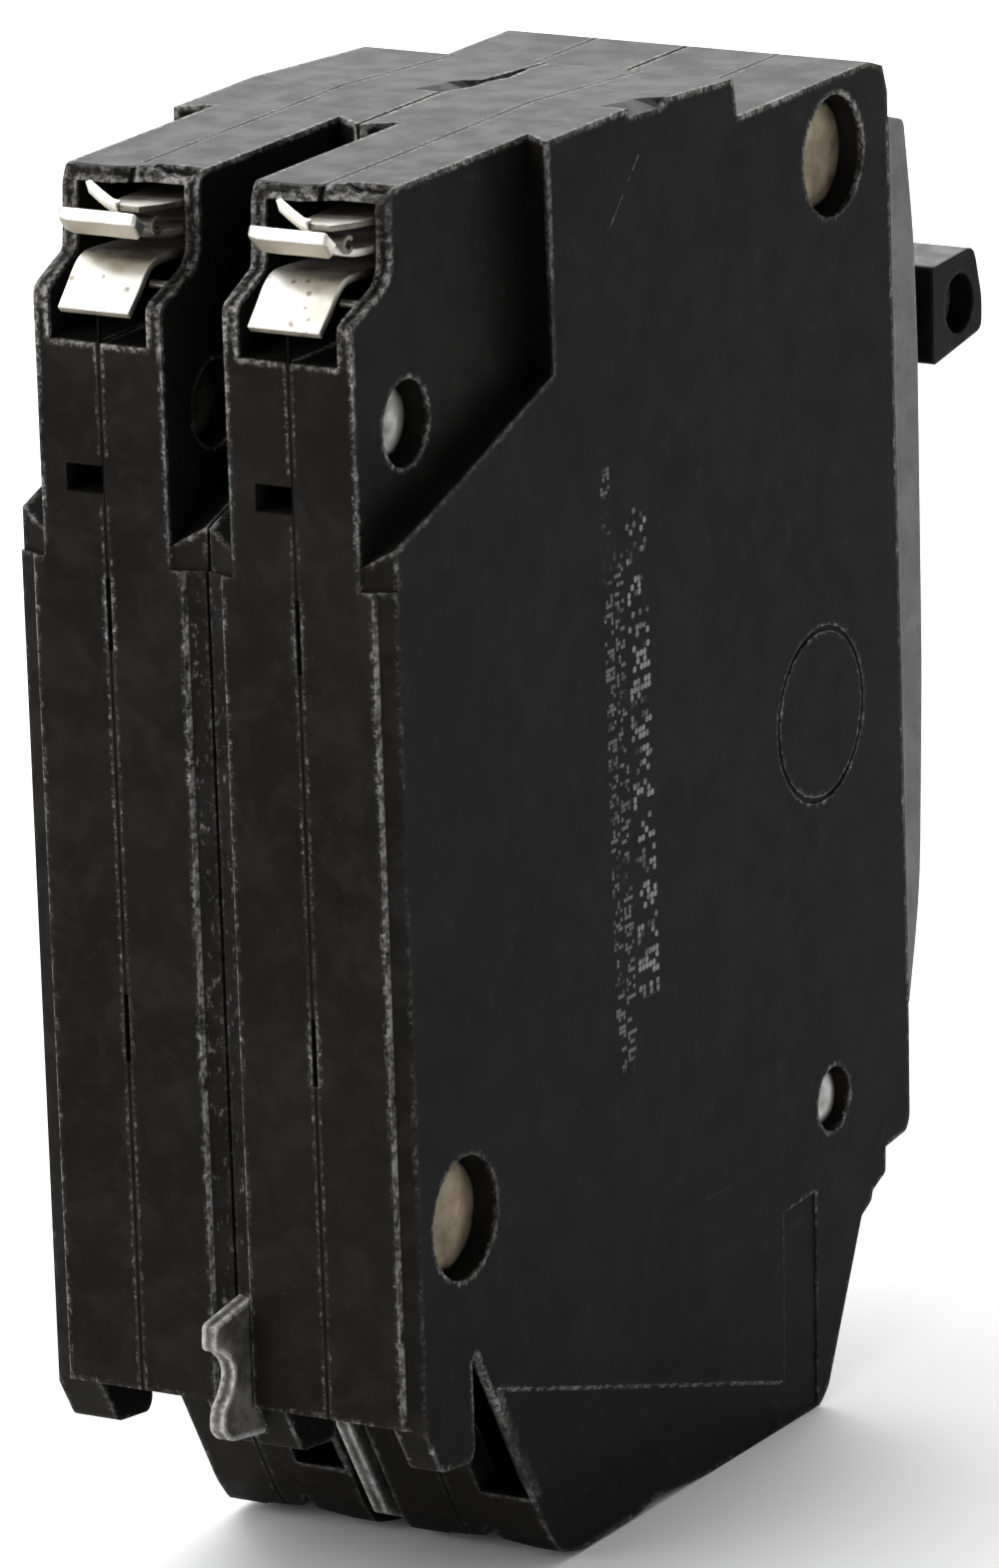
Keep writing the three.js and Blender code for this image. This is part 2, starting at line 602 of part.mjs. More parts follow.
// the screw runs along local y, positive towards the screwdriver
function loadTerminal(name, x) {
  const shank = new THREE.CylinderGeometry(SCREW_R, SCREW_R, SCREW_LENGTH, 20);
  shank.translate(0, -SCREW_LENGTH / 2 + 0.3, 0);
  const head = new THREE.CylinderGeometry(2.5, 2.7, 2.2, 28).translate(0, 1.15, 0);
  const cross = [box(-0.4, 0.4, 1.2, 3, -3, 3), box(-1.9, 1.9, 1.5, 3, -0.4, 0.4)];
  const screw = cut(sum(solid(shank), solid(head)), ...cross);
  emit(`${name}_terminal_screw`, tilted(screw.translate([-0.9, 0, 0])), 'steel', x);
  const hole = solid(new THREE.CylinderGeometry(SCREW_R + 0.35, SCREW_R + 0.35, 6, 24));
  const foot = cut(box(-3.6, 2.6, -1.1, -0.05, -3.4, 3.6), hole.translate([-0.9, 0, 0]));
  const path = [[-46.4, -56.4], [-40.5, -50.6], [-30, -49.9], [-25.1, -49.9], [-24.95, -44.8]];
  const strap = sum(tilted(foot), plate(strip(path, 0.85), -2.4, 1.6));
  emit(`${name}_load_strap`, strap, 'copper', x);
  const nut = cut(box(-3.7, 2.1, -9.6, -7.6, -2.3, 3.0), thread());
  const cheeks = [-3.7, 1.4].map((a) => box(a, a + 0.7, -8.2, -4.2, -2.3, 3.0));
  emit(`${name}_terminal_clamp`, tilted(sum(nut, ...cheeks)), 'tinned', x);
}

function thread() {
  const hole = new THREE.CylinderGeometry(SCREW_R + 0.08, SCREW_R + 0.08, 20, 24);
  return solid(hole).translate([-0.9, -6, 0]);
}

// ---- handle and front ---------------------------------------------------
function handle(name, x) {
  const side = soften([
    [-48.6, -13.9, 1], [-46.6, -12.6, 1], [-46.4, -9.0, 1], [-48.8, -6.9, 1], [-52.4, -7.2, 0.6],
    [-66.9, -0.9, 0.3], [-70.8, 0.0, 0.4], [-71.4, -4.3, 0.4], [-67.2, -5.0, 0.3],
    [-54.4, -11.6, 0.6], [-52.0, -13.6, 1],
  ], 0.5, 3);
  const trunnions = bar(HANDLE_PIVOT, TRUNNION_R, -PIN_REACH, PIN_REACH, 16);
  const body = sum(plate(side, -1.95, 1.95), plate(shieldOutline(), -3.1, 3.1), trunnions);
  emit(`${name}_handle`, cut(body, bar(TIE_HOLE, TIE_HOLE_R, -4, 4, 24)), 'handle', x);
}

// curved shield on the handle that keeps the slot covered through the whole throw
function shieldOutline() {
  const points = [];
  const steps = 14;
  for (let i = 0; i <= steps; i += 1) {
    points.push(onDrum(SHIELD_R, i / steps));
  }
  for (let i = steps; i >= 0; i -= 1) {
    points.push(onDrum(SHIELD_R - 1.0, i / steps));
  }
  return points.reverse();
}

function onDrum(r, t) {
  const a = Math.PI - 0.39 + (t * 2 - 1) * 1.2;
  return [HANDLE_PIVOT[0] + Math.cos(a) * r, HANDLE_PIVOT[1] + Math.sin(a) * r];
}

function handleTie() {
  const side = soften([
    [-66.5, 0.55, 0.3], [-71.9, 0.85, 0.9], [TIE_FRONT, -2.6, 0.6], [-72.7, -4.6, 0.6],
    [-66.3, -5.6, 0.3],
  ], 0.3, 3);
  const socket = [
    [-60, 2], [-66.9, -0.45], [-71.1, 0.25], [-71.7, -4.2], [-67.3, -5.3], [-60, -8.4],
  ];
  const sockets = [-1, 1].map((s) => {
    const c = (s * POLE_PITCH) / 2;
    return plate(socket, c - 2.1, c + 2.1);
  });
  const hole = bar(TIE_HOLE, TIE_HOLE_R, -20, 20, 28);
  return cut(plate(side, -TIE_HALF, TIE_HALF), ...sockets, hole);
}

// thin printed cover bent over the front ridge, with the handle slot in it
function label(name, x) {
  const outer = soften([
    [-60.5, 11.35], [-62.4, 10.8, 0.5], [-63.35, 3.5, 2], [-63.55, -4, 2], [-63.15, -24, 3],
    [-62.25, -38, 3], [-60.5, -44.9],
  ], 0, 3);
  const inner = soften([
    [-55, 10.6], [-62.0, 10.4, 0.5], [-63.0, 3.5, 2], [-63.2, -4, 2], [-62.8, -24, 3],
    [-61.9, -38, 3], [-59.4, -45.6],
  ], 0, 3);
  const cover = plate(inner, -HALF + 0.37, HALF - 0.37);
  const slot = box(-2.6, 2.6, -66, -55, -19.7, -1.1);
  emit(`${name}_front_label`, cut(plate(outer, -HALF, HALF), cover, slot), 'label', x);
}

// ---- shared pieces ------------------------------------------------------
function rivet(at, shank, head, half, sink) {
  const face = half - sink;
  return sum(
    bar(at, shank, -face + 0.1, face - 0.1, 16),
    bar(at, head, face - HEAD_THICK, face, 24, head - 0.25),
    bar(at, head - 0.25, -face, -face + HEAD_THICK, 24, head),
  );
}

// one bar through both poles, with a lever for each trip unit
function tripBar() {
  const reach = POLE_PITCH / 2 + PIN_REACH - 0.1;
  const shaft = bar(TRIP_PIVOT, TRIP_SHAFT_R, -reach, reach, 24);
  const levers = [-1, 1].map((s) => {
    const c = (s * POLE_PITCH) / 2;
    const side = soften([
      [-52.4, -22.4], [-49.6, -21.4], [-46.5, -23.4], [-36.2, -29.4], [-36.2, -31.0],
      [-46.8, -27.4], [-50.6, -26.0],
    ], 0.7, 3);
    return plate(side, c - 1.4, c + 1.4);
  });
  return sum(shaft, ...levers);
}

for (const [name, side] of [['left', 1], ['right', -1]]) {
  const x = (side * POLE_PITCH) / 2;
  caseHalves(name, side);
  lineEnd(name, x);
  contactArm(name, x);
  tripUnit(name, x);
  braid(name, x);
  loadTerminal(name, x);
  handle(name, x);
  label(name, x);
  const lineRivet = rivet(LINE_RIVET, SMALL_SHANK_R, LINE_HEAD_R, NECK_HALF, LINE_SINK);
  emit(`${name}_line_rivet`, lineRivet, 'steel', x);
  const loadRivet = rivet(LOAD_RIVET, SMALL_SHANK_R, LOAD_HEAD_R, HALF, LOAD_SINK);
  emit(`${name}_load_rivet`, loadRivet, 'steel', x);
}
const FULL_HALF = POLE_PITCH / 2 + HALF;
for (const [name, at] of [['upper', UPPER_TIE], ['lower', LOWER_TIE]]) {
  emit(`${name}_tie_rivet`, rivet(at, BIG_SHANK_R, BIG_HEAD_R, FULL_HALF, BIG_SINK), 'brass');
}
emit('trip_bar', tripBar(), 'handle');
emit('handle_tie', handleTie(), 'handle');
const PIN_END = TIE_HALF - 1.6;
emit('tie_pin', bar(TIE_HOLE, TIE_HOLE_R - 0.03, -PIN_END, PIN_END, 24), 'steel');
emit('mounting_hook', plate(HOOK_OUTLINE, HALF - 1.0, HALF - 0.05), 'case', -POLE_PITCH / 2);

export default group;
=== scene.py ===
"""Two-pole plug-in circuit breaker: finish, small detail, light and camera round the CAD frame. Metres."""
import math
import random

import bmesh
import bpy
from mathutils import Matrix, Vector


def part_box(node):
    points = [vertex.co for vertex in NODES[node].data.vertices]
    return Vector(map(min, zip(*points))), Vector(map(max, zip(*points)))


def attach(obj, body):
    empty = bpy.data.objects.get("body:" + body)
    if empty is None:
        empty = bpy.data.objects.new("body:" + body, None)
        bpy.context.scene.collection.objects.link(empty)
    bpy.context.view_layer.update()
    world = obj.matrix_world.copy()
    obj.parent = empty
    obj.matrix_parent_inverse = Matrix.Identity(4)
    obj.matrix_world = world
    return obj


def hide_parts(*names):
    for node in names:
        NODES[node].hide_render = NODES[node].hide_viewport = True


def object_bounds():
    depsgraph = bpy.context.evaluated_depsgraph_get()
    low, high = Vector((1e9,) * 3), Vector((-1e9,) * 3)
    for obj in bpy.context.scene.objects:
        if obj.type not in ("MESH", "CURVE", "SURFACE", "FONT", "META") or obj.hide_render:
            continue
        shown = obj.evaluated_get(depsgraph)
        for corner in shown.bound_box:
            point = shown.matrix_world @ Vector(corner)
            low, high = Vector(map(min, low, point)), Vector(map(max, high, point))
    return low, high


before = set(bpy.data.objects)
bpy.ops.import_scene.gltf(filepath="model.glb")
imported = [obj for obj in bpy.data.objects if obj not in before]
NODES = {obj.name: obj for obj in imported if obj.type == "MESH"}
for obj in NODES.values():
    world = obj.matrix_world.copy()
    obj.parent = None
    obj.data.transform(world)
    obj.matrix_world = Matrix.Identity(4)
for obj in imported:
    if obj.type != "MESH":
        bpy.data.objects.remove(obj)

MM = 0.001
CAD_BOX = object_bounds()
POLES = (("left", 1), ("right", -1))
OUTER_FACE = CAD_BOX[0].x

# The part's own datum: y 0 is the panel side of the case and z 18.4 its top.
REAR_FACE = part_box("left_cover")[1].y
TOP_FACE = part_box("left_cover")[1].z - 18.4 * MM
POLE_CENTRE = 6.35


def at(x, y, z):
    """A place given in the part's millimetres, in the frame's metres."""
    return Vector((x * MM, REAR_FACE + y * MM, TOP_FACE + z * MM))


def depth(y):
    """The frame's Y of a depth behind the rear face, in the part's millimetres."""
    return at(0, y, 0).y


def level(z):
    """The frame's Z of a height in the part's millimetres."""
    return at(0, 0, z).z


# ---- finishes ---------------------------------------------------------------
class Shade:
    """The node tree of one finish, with short calls for the nodes that the finishes share."""

    def __init__(self, name, **uniform):
        self.material = bpy.data.materials.new(name)
        self.material.use_nodes = True
        self.tree = self.material.node_tree
        self.shader = self.tree.nodes["Principled BSDF"]
        for socket, value in uniform.items():
            self.shader.inputs[socket.replace("_", " ")].default_value = value
        self.place = self.add("ShaderNodeTexCoord").outputs["Object"]

    def add(self, kind, inputs=None, **settings):
        node = self.tree.nodes.new(kind)
        for key, value in settings.items():
            setattr(node, key, value)
        for key, value in (inputs or {}).items():
            self.feed(node.inputs[key], value)
        return node

    def feed(self, socket, value):
        if isinstance(value, bpy.types.NodeSocket):
            self.tree.links.new(value, socket)
        else:
            socket.default_value = value

    def moved(self, scale=(1, 1, 1), turn=(0, 0, 0), shift=(0, 0, 0)):
        inputs = {"Vector": self.place, "Scale": scale, "Rotation": turn, "Location": shift}
        return self.add("ShaderNodeMapping", inputs).outputs["Vector"]

    def noise(self, scale, detail=3.0, rough=0.55, where=None, warp=0.0):
        inputs = {"Vector": where or self.place, "Scale": scale, "Detail": detail, "Roughness": rough,
                  "Distortion": warp}
        return self.add("ShaderNodeTexNoise", inputs).outputs["Fac"]

    def cells(self, scale, feature="F1", where=None, spread=1.0):
        inputs = {"Vector": where or self.place, "Scale": scale, "Randomness": spread}
        return self.add("ShaderNodeTexVoronoi", inputs, feature=feature).outputs["Distance"]

    def span(self, value, low, high, out_low=0.0, out_high=1.0):
        inputs = {"Value": value, "From Min": low, "From Max": high, "To Min": out_low, "To Max": out_high}
        return self.add("ShaderNodeMapRange", inputs, interpolation_type="SMOOTHSTEP").outputs["Result"]

    def maths(self, operation, a, b=0.0):
        return self.add("ShaderNodeMath", {0: a, 1: b}, operation=operation).outputs[0]

    def times(self, first, *others):
        for other in others:
            first = self.maths("MULTIPLY", first, other)
        return first

    def without(self, share):
        """What is left of 1 when share is taken away."""
        return self.maths("SUBTRACT", 1.0, share)

    def mix(self, share, a, b):
        node = self.add("ShaderNodeMix", data_type="RGBA")
        for key, value in (("Factor", share), ("A", a), ("B", b)):
            sockets = [s for s in node.inputs if s.name == key and s.enabled]
            self.feed(sockets[0], value)
        return [s for s in node.outputs if s.enabled][0]

    def axes(self, source=None):
        return self.add("ShaderNodeSeparateXYZ", {"Vector": source or self.place}).outputs

    def facing(self):
        return self.add("ShaderNodeNewGeometry").outputs["Normal"]

    def outer_edges(self, reach):
        """1 on convex edges, fading to 0 within reach."""
        node = self.add("ShaderNodeAmbientOcclusion", {"Distance": reach}, inside=True, samples=3)
        return self.without(node.outputs["AO"])

    def corners(self, reach):
        """1 deep in corners and recesses."""
        node = self.add("ShaderNodeAmbientOcclusion", {"Distance": reach}, samples=2)
        return self.without(node.outputs["AO"])

    def bump(self, height, strength, depth, under=None):
        inputs = {"Height": height, "Strength": strength, "Distance": depth}
        if under is not None:
            inputs["Normal"] = under
        return self.add("ShaderNodeBump", inputs).outputs["Normal"]

    def finish(self, colour, roughness, normal):
        self.feed(self.shader.inputs["Base Color"], colour)
        self.feed(self.shader.inputs["Roughness"], roughness)
        self.feed(self.shader.inputs["Normal"], normal)
        return self.material


def grey(level, warmth=0.0):
    return (level * (1 + warmth), level, level * (1 - warmth), 1.0)


def band(s, value, centre, half, soft):
    """1 within half of centre, falling to 0 over soft."""
    return s.span(s.maths("ABSOLUTE", s.maths("SUBTRACT", value, centre)), half + soft, half)


def dot_print(s, y_low, y_high, z_high, z_low, dots, gap, salt):
    """Rows of printed dots in an arbitrary pattern on the -X face, like a worn machine-printed code."""
    x, y, z = s.axes()
    low, high = at(0, y_low, z_low), at(0, y_high, z_high)
    pitch = (high.y - low.y) / dots
    across = s.maths("DIVIDE", s.maths("SUBTRACT", y, low.y), pitch)
    along = s.maths("DIVIDE", s.maths("SUBTRACT", high.z, z), pitch)
    row, column = s.maths("FLOOR", across), s.maths("FLOOR", along)
    key = s.add("ShaderNodeCombineXYZ", {"X": row, "Y": column, "Z": salt}).outputs[0]
    random_bit = s.add("ShaderNodeTexWhiteNoise", {"Vector": key}).outputs["Value"]
    lit = s.span(random_bit, 0.52, 0.56)
    off_row = s.maths("SUBTRACT", s.maths("FRACT", across), 0.5)
    off_column = s.maths("SUBTRACT", s.maths("FRACT", along), 0.5)
    far = s.maths("SQRT", s.maths("ADD", s.maths("POWER", off_row, 2.0), s.maths("POWER", off_column, 2.0)))
    dot = s.span(far, 0.62, 0.36)
    spacing = s.maths("GREATER_THAN", s.maths("FLOORED_MODULO", column, gap), 0.5)
    margin = 0.05 * MM
    inside = s.times(s.span(y, low.y, low.y + margin), s.span(y, high.y, high.y - margin),
                     s.span(z, low.z, low.z + margin), s.span(z, high.z, high.z - margin))
    face = s.span(x, OUTER_FACE + 0.08 * MM, OUTER_FACE + 0.03 * MM)
    faded = s.span(s.noise(450, 4), 0.36, 0.56)
    return s.times(lit, dot, spacing, inside, face, faded)


def rubbed_line(s, start, end, half):
    """A rubbed line on the -X face between two (y, z) points."""
    x, y, z = s.axes()
    a, b = at(0, *start), at(0, *end)
    slope = (b.z - a.z) / (b.y - a.y)
    height = s.maths("ADD", a.z, s.maths("MULTIPLY", s.maths("SUBTRACT", y, a.y), slope))
    line = s.span(s.maths("ABSOLUTE", s.maths("SUBTRACT", z, height)), half * 1.8, half * 0.7)
    ends = band(s, y, (a.y + b.y) / 2, abs(a.y - b.y) / 2, 0.15 * MM)
    face = s.span(x, OUTER_FACE + 0.6 * MM, OUTER_FACE + 0.2 * MM)
    broken = s.span(s.noise(1100, 4, 0.6), 0.38, 0.55)
    return s.times(line, ends, face, broken)


def case_colour(s):
    """Black in faint clouds, with painted light on the rear faces (lighter and browner in patches), dust in
    the corners, pale specks and fine scratches.
    """
    normal = s.axes(s.facing())
    colour = s.mix(s.span(s.noise(90, 5, 0.6), 0.35, 0.7), grey(0.0065, 0.03), grey(0.0095, 0.04))
    colour = s.mix(s.span(s.noise(700, 4, 0.6), 0.55, 0.75), colour, grey(0.0125, 0.05))
    painted_rear_light_patches = s.span(s.noise(330, 5, 0.65, warp=0.6), 0.42, 0.66, 0.2, 1.0)
    # painted light: faces that look to the rear are painted lighter and browner in patches, for the light
    # that falls on them
    rear = s.span(normal[1], 0.75, 0.95)
    colour = s.mix(s.times(rear, painted_rear_light_patches, 0.75), colour, (0.0185, 0.0165, 0.0135, 1))
    dust = s.times(s.span(s.corners(1.2 * MM), 0.25, 0.8), s.span(s.noise(1500, 4), 0.4, 0.7))
    colour = s.mix(s.times(dust, 0.12), colour, grey(0.05, 0.08))
    speck = s.times(s.span(s.cells(1400), 0.11, 0.05), s.span(s.noise(300, 2), 0.6, 0.7))
    colour = s.mix(s.times(speck, 0.35), colour, grey(0.10, 0.05))
    for tilt, share in ((0.35, 0.22), (-0.9, 0.16)):
        stretched = s.moved((1, 0.012, 1), (tilt, 0, 0))
        line = s.times(s.span(s.noise(2600, 1.5, 0.5, stretched), 0.74, 0.80),
                       s.span(s.noise(75, 3), 0.52, 0.62))
        colour = s.mix(s.times(line, share), colour, grey(0.09, 0.03))
    return colour


def rubbed_edges(s, open_edge):
    """Ragged wear along the convex edges, less of it on the outer rims of the neck pocket."""
    x, y, z = s.axes()
    edge = s.outer_edges(0.42 * MM)
    ragged = s.maths("ADD", s.noise(1500, 5, 0.7), s.times(s.noise(5200, 2), 0.35))
    ragged = s.times(s.maths("SUBTRACT", ragged, 0.675), 0.85)
    stretch = s.span(s.noise(210, 4, 0.6), 0.38, 0.58, 0.30, 1.0)
    line_end = s.span(z, level(6), level(10), 0.0, 0.10)
    worn = s.span(s.maths("ADD", s.maths("ADD", edge, line_end), ragged), 0.31, 0.50)
    worn = s.times(worn, s.span(edge, 0.03, 0.12), open_edge, stretch)
    rim = s.times(s.span(x, OUTER_FACE + 0.6 * MM, OUTER_FACE + 0.3 * MM),
                  band(s, y, depth(-10.3), 9.4 * MM, 0.3 * MM), s.span(z, level(-2.6), level(-2.1)))
    return s.times(worn, s.without(s.times(rim, 0.6)))


def rubbed_rear(s, worn, from_centre):
    """Adds a broken pale line along the edges of the raised rear strip, and nicks on its inner slopes."""
    x, y, z = s.axes()
    broken = s.span(s.noise(900, 5, 0.65, s.moved((1, 1, 0.35))), 0.36, 0.52)
    at_rear = s.times(s.span(y, depth(-1.4), depth(-1.0)), s.span(z, level(-3.6), level(-4.2)))
    sloping = s.times(s.span(from_centre, 5.15 * MM, 5.4 * MM), at_rear)
    worn = s.times(worn, s.without(s.times(sloping, 0.7)))
    ridge = s.times(band(s, from_centre, 5.06 * MM, 0.05 * MM, 0.07 * MM), at_rear,
                    s.span(y, depth(-0.5), depth(-0.3)))
    worn = s.maths("MAXIMUM", worn, s.times(ridge, broken, 0.6))
    between = s.times(sloping, s.span(s.maths("ABSOLUTE", x), 2.5 * MM, 2.0 * MM))
    nicks = s.times(between, s.span(s.noise(2300, 4, 0.6, s.moved((1, 1, 0.5))), 0.58, 0.70))
    return s.maths("MAXIMUM", worn, s.times(nicks, 0.25))


def case_wear(s):
    """How far each spot of the case is rubbed pale, from 0 to 1."""
    x, y, z = s.axes()
    normal = s.axes(s.facing())
    from_centre = s.maths("ABSOLUTE", s.maths("SUBTRACT", s.maths("ABSOLUTE", x), POLE_CENTRE * MM))
    # nothing is rubbed in the closed parting line, round the bus slot or in deep cavities
    in_slot = s.times(band(s, z, level(0.9), 1.3 * MM, 0.3 * MM), s.span(from_centre, 3.4 * MM, 3.0 * MM))
    open_edge = s.times(s.span(from_centre, 0.10 * MM, 0.28 * MM), s.without(in_slot),
                        s.span(s.corners(4 * MM), 0.9, 0.72))
    worn = rubbed_rear(s, rubbed_edges(s, open_edge), from_centre)
    # the load end is hardly rubbed
    worn = s.times(worn, s.span(z, level(-57.5), level(-54.5), 0.4, 1.0))
    # pale dashes beside the parting line on the top faces
    beside = s.times(band(s, from_centre, 0.1 * MM, 0.04 * MM, 0.06 * MM), s.span(normal[2], 0.7, 0.9))
    dashes = s.times(beside, s.span(s.noise(420, 3, 0.5, s.moved((1, 0.5, 1))), 0.5, 0.6))
    worn = s.maths("MAXIMUM", worn, s.times(dashes, 0.42))
    # chips on the thin walls of the mouth
    mouth = s.times(s.span(y, depth(-6.5), depth(-5)), s.span(z, level(9.5), level(11)),
                    s.span(normal[1], 0.2, 0.5))
    chips = s.times(mouth, s.span(s.noise(900, 5, 0.62, warp=0.8), 0.46, 0.66))
    worn = s.maths("MAXIMUM", worn, s.times(chips, open_edge, 0.34))
    load_end_line = ((-10, -54.6), (-43, -64.4), 0.10 * MM)
    scratch = ((-26.1, 11.7), (-29.7, 15.3), 0.06 * MM)
    for start, end, half in (load_end_line, scratch):
        worn = s.maths("MAXIMUM", worn, s.times(rubbed_line(s, start, end, half), 0.45))
    return worn


def machine_print(s):
    """One wide and two narrow columns of printed dots on the outer side, with no readable characters."""
    marks = s.times(dot_print(s, -29.4, -26.9, -5.0, -35.5, 6, 5, 1.0), 0.8)
    for y_low, z_high, salt in ((-25.2, -2.0, 2.0), (-26.5, -7.0, 3.0)):
        narrow = dot_print(s, y_low, y_low + 1.1, z_high, -39.5, 4, 4, salt)
        marks = s.maths("MAXIMUM", marks, s.times(narrow, 0.5))
    return marks


def case_finish():
    """Black thermoset with a fine grain, rubbed pale and chipped along its edges, scuffed and dusty."""
    s = Shade("case_black", Specular_IOR_Level=0.022, Metallic=0.0)
    worn = case_wear(s)
    pale = s.mix(s.span(s.noise(2600, 3), 0.38, 0.62), grey(0.10, 0.02), grey(0.42, 0.01))
    colour = s.mix(worn, case_colour(s), pale)
    colour = s.mix(machine_print(s), colour, grey(0.30))
    rough = s.maths("ADD", s.span(s.noise(420, 4), 0.3, 0.7, 0.39, 0.47), s.times(worn, 0.2))
    rounded = s.add("ShaderNodeBevel", {"Radius": 0.14 * MM}, samples=2).outputs["Normal"]
    grain = s.bump(s.noise(2600, 3, 0.6), 0.28, 0.03 * MM, rounded)
    streaks = s.span(s.axes(s.facing())[2], 0.6, 0.9, 0.10, 0.38)
    grain = s.bump(s.noise(1000, 5, 0.62, s.moved((1, 0.18, 1))), streaks, 0.05 * MM, grain)
    grain = s.bump(s.noise(420, 4, 0.6), 0.09, 0.08 * MM, grain)
    grain = s.bump(s.without(worn), 0.35, 0.05 * MM, grain)
    return s.finish(colour, rough, grain)


def hook_finish():
    """The same moulding rubbed grey, almost white on its edges."""
    s = Shade("hook_worn", Specular_IOR_Level=0.05, Metallic=0.0)
    rub = s.span(s.noise(520, 5, 0.65), 0.36, 0.66)
    colour = s.mix(rub, grey(0.045, 0.03), grey(0.13, 0.03))
    fine = s.times(s.maths("SUBTRACT", s.noise(2300, 4, 0.7), 0.5), 0.7)
    edge = s.span(s.maths("ADD", s.outer_edges(0.4 * MM), fine), 0.22, 0.42)
    colour = s.mix(s.times(edge, 0.95), colour, grey(0.60, 0.01))
    rough = s.span(s.noise(600, 4), 0.3, 0.7, 0.42, 0.6)
    rounded = s.add("ShaderNodeBevel", {"Radius": 0.15 * MM}, samples=2).outputs["Normal"]
    return s.finish(colour, rough, s.bump(s.noise(1500, 4), 0.4, 0.06 * MM, rounded))


def soft_edge(s, reach):
    """Light, slightly uneven mask on convex edges: rubbed wear on the label, a painted sheen on the handle.
    """
    uneven = s.span(s.noise(1500, 4), 0, 1, -0.3, 0.3)
    return s.span(s.maths("ADD", s.outer_edges(reach), uneven), 0.25, 0.5)


def handle_finish():
    """Smoother black moulding, with a painted sheen on its edges where fingers rub it."""
    s = Shade("handle_black", Specular_IOR_Level=0.025, Metallic=0.0)
    colour = s.mix(s.span(s.noise(300, 4), 0.4, 0.7), grey(0.003), grey(0.007))
    # painted sheen: the handle's convex edges are painted a paler grey
    colour = s.mix(s.times(soft_edge(s, 0.4 * MM), 0.25), colour, grey(0.06))
    rough = s.span(s.noise(500, 4), 0.3, 0.7, 0.26, 0.40)
    rounded = s.add("ShaderNodeBevel", {"Radius": 0.3 * MM}, samples=2).outputs["Normal"]
    normal = s.bump(s.noise(1800, 3), 0.12, 0.02 * MM, rounded)
    return s.finish(colour, rough, normal)


def label_finish():
    """Grey printed cover with a fine film grain, rubbed corners and plain dark bars beside the handle."""
    s = Shade("label_grey", Specular_IOR_Level=0.12, Metallic=0.0)
    x, y, z = s.axes()
    colour = s.mix(s.span(s.noise(250, 4), 0.35, 0.7), grey(0.125), grey(0.165))
    grime = s.times(s.span(s.noise(900, 5, 0.65), 0.5, 0.7), 0.5)
    colour = s.mix(grime, colour, grey(0.085, 0.03))
    from_centre = s.maths("SUBTRACT", s.maths("FLOORED_MODULO", x, 2 * POLE_CENTRE * MM), POLE_CENTRE * MM)
    bars = None
    for middle, half, side in ((-0.4, 0.5, -4.7), (-2.2, 0.28, -4.7), (-3.6, 0.5, -4.7), (-5.4, 0.28, -4.7),
                               (-6.6, 0.5, -4.7), (-17.5, 0.6, 4.2), (-21.5, 0.25, 4.2), (4.2, 0.25, 0.0)):
        bar = s.times(band(s, z, level(middle), half * MM, 0.1 * MM),
                      band(s, from_centre, side * MM, 1.1 * MM, 0.1 * MM))
        bars = bar if bars is None else s.maths("MAXIMUM", bars, bar)
    colour = s.mix(s.times(bars, 0.85), colour, grey(0.012))
    colour = s.mix(s.times(soft_edge(s, 0.3 * MM), 0.35), colour, grey(0.40))
    rough = s.span(s.noise(600, 4), 0.3, 0.7, 0.42, 0.6)
    normal = s.bump(s.noise(1500, 3), 0.2, 0.03 * MM)
    return s.finish(colour, rough, normal)


def metal_finish(name, bright, dull, rough_low, rough_high, grain=(1, 1, 1), stain=None, stain_share=0.5,
                 under=0.0, pits=0.0):
    """Plated or rolled metal: two tones in patches, drawn grain along one axis, darker in the corners, and
    painted shade on faces that look down when under is set.
    """
    s = Shade(name, Metallic=1.0)
    colour = s.mix(s.span(s.noise(420, 5, 0.6), 0.4, 0.68), bright, dull)
    along = s.moved(grain)
    drawn = s.noise(2400, 3, 0.6, along)
    colour = s.mix(s.span(drawn, 0.5, 0.75, 0.0, 0.35), colour, dull)
    if stain:
        patch = s.span(s.noise(260, 5, 0.65), 0.56, 0.68)
        colour = s.mix(s.times(patch, stain_share), colour, stain)
    # darker in the corners and recesses, by the occlusion mask
    corner_darkening = s.span(s.corners(0.9 * MM), 0.3, 0.9, 0.0, 0.6)
    colour = s.mix(corner_darkening, colour, grey(0.05, 0.1))
    if pits:
        pitted = s.times(s.span(s.cells(1150), 0.26, 0.12), s.span(s.noise(330, 3), 0.47, 0.56))
        colour = s.mix(s.times(pitted, pits), colour, (0.22, 0.18, 0.13, 1))
    # painted shade: faces that look down are tinted a darker beige, standing in for the shadowed floor they
    # reflect
    if under:
        painted_underside_shade = s.span(s.axes(s.facing())[2], 0.1, -0.25, 0.0, under)
        colour = s.mix(painted_underside_shade, colour, (0.28, 0.25, 0.195, 1))
    rough = s.span(s.noise(700, 4), 0.3, 0.7, rough_low, rough_high)
    normal = s.bump(drawn, 0.22, 0.02 * MM)
    normal = s.bump(s.noise(520, 3), 0.25, 0.05 * MM, normal)
    return s.finish(colour, rough, normal)


